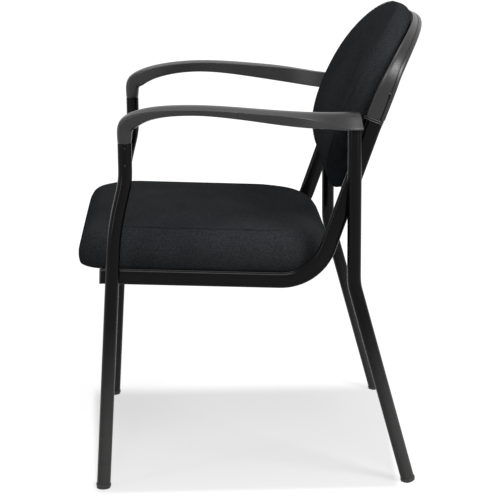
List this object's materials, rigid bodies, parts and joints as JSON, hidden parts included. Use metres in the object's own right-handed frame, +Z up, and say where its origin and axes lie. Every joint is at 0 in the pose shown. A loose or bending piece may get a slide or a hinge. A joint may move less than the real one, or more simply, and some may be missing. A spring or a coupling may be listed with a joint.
{
  "type": "guest chair",
  "caption": "Four-legged guest chair with a bent steel tube frame, bowed moulded armrests, a crowned upholstered seat and a curved padded back in a moulded shell.",
  "frame": {"origin": "on the floor, in the middle of the chair's box", "axes": "+Z up, the sitter faces -Y, +X is the sitter's left"},
  "size_m": [0.704, 0.6434, 0.8531],
  "materials": {
    "frame_paint": "satin black powder coat",
    "plug_plastic": "black moulded plastic",
    "glide_rubber": "black moulded glide",
    "moulded_plastic": "dark grey plastic with a fine matt grain",
    "fastener_steel": "plated steel",
    "upholstery": "black woven fabric with a fine weave",
    "plywood": "bare plywood",
    "dust_cloth": "black nonwoven cloth"
  },
  "bodies": {
    "root": {"left_side_rail": "frame_paint", "right_side_rail": "frame_paint", "left_front_leg": "frame_paint", "right_front_leg": "frame_paint", "left_rear_leg": "frame_paint", "right_rear_leg": "frame_paint", "front_cross_tube": "frame_paint", "rear_cross_tube": "frame_paint", "left_rail_plug": "plug_plastic", "right_rail_plug": "plug_plastic", "left_upright_plug": "plug_plastic", "right_upright_plug": "plug_plastic", "left_front_glide": "glide_rubber", "right_front_glide": "glide_rubber", "left_rear_glide": "glide_rubber", "right_rear_glide": "glide_rubber", "left_armrest": "moulded_plastic", "right_armrest": "moulded_plastic", "left_arm_screws": "fastener_steel", "right_arm_screws": "fastener_steel", "seat_cushion": "upholstery", "seat_board": "plywood", "seat_dust_cover": "dust_cloth", "seat_bolts": "fastener_steel", "seat_washers": "fastener_steel", "seat_tee_nuts": "fastener_steel", "back_cushion": "upholstery", "back_board": "plywood", "back_shell": "moulded_plastic", "left_sleeve_collar": "moulded_plastic", "right_sleeve_collar": "moulded_plastic", "back_screws": "fastener_steel"}
  },
  "joints": []
}
